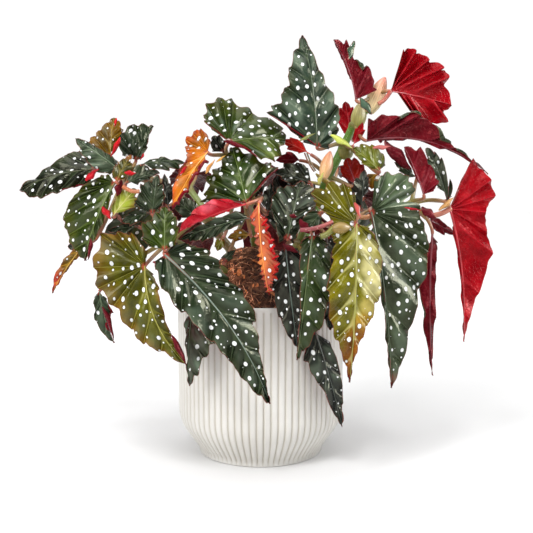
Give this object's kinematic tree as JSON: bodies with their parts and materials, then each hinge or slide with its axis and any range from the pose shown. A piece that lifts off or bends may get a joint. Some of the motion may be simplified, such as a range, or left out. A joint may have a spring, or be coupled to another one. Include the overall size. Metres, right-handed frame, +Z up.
{
  "type": "potted polka dot begonia",
  "caption": "Cane begonia with spotted angel-wing leaves, green on top and red below, growing from a soil mound in a round ribbed pot.",
  "frame": {"origin": "middle of the pot's foot, on the surface that the pot stands on", "axes": "+Z up, -Y towards the front of the plant, +X to the right as seen from the front"},
  "size_m": [0.4956, 0.3188, 0.4428],
  "materials": {
    "pot": "matte",
    "soil": "matte",
    "stem": "satin",
    "leaf_dark": "satin",
    "leaf_grey": "satin",
    "leaf_ochre": "satin",
    "leaf_mid": "satin",
    "leaf_lime": "satin",
    "leaf_olive": "satin",
    "leaf_orange": "satin",
    "leaf_red": "satin",
    "leaf_scarlet": "satin",
    "leaf_black": "satin",
    "leaf_green": "satin",
    "leaf_crimson": "satin"
  },
  "bodies": {
    "root": {"pot": "pot", "soil": "soil", "cane_left": "stem", "cane_left_low": "stem", "cane_mid": "stem", "cane_right_low": "stem", "cane_right_tall": "stem", "cane_right": "stem", "cane_back_left": "stem", "cane_back_right": "stem", "leaf_far_left": "leaf_dark", "leaf_left_slim": "leaf_grey", "leaf_left_ochre": "leaf_ochre", "leaf_left_crown": "leaf_dark", "leaf_left_olive": "leaf_ochre", "leaf_left_broad": "leaf_mid", "leaf_left_twist": "leaf_ochre", "leaf_left_lime": "leaf_lime", "leaf_left_flat": "leaf_dark", "leaf_left_star": "leaf_dark", "leaf_low_upper": "leaf_mid", "leaf_low_olive": "leaf_olive", "leaf_low_large": "leaf_dark", "leaf_low_wavy": "leaf_dark", "leaf_low_small": "leaf_grey", "leaf_mid_orange": "leaf_orange", "leaf_mid_crown": "leaf_mid", "leaf_mid_fan": "leaf_mid", "leaf_mid_red": "leaf_red", "leaf_mid_under": "leaf_dark", "leaf_mid_spiny": "leaf_scarlet", "leaf_front_star": "leaf_dark", "leaf_front_dark": "leaf_black", "leaf_front_wavy": "leaf_green", "leaf_front_low": "leaf_black", "leaf_small_front": "leaf_dark", "leaf_yellow": "leaf_lime", "leaf_right_large": "leaf_dark", "leaf_top_tall": "leaf_dark", "leaf_top_rolled": "leaf_red", "leaf_top_fan": "leaf_red", "leaf_right_long": "leaf_crimson", "leaf_right_fold": "leaf_crimson", "leaf_right_zigzag": "leaf_dark", "leaf_right_red": "leaf_red", "leaf_right_hang": "leaf_crimson", "leaf_right_lime": "leaf_lime", "leaf_heart_red": "leaf_red", "leaf_heart_low": "leaf_crimson", "leaf_crown_dots": "leaf_black", "leaf_left_inner": "leaf_black", "leaf_front_inner": "leaf_black", "leaf_back_left_low": "leaf_dark", "leaf_back_left_out": "leaf_green", "leaf_back_left_top": "leaf_mid", "leaf_back_mid": "leaf_dark", "leaf_back_mid_top": "leaf_green", "leaf_back_right_low": "leaf_dark", "leaf_back_right_out": "leaf_green", "leaf_back_right_top": "leaf_mid"}
  },
  "joints": []
}
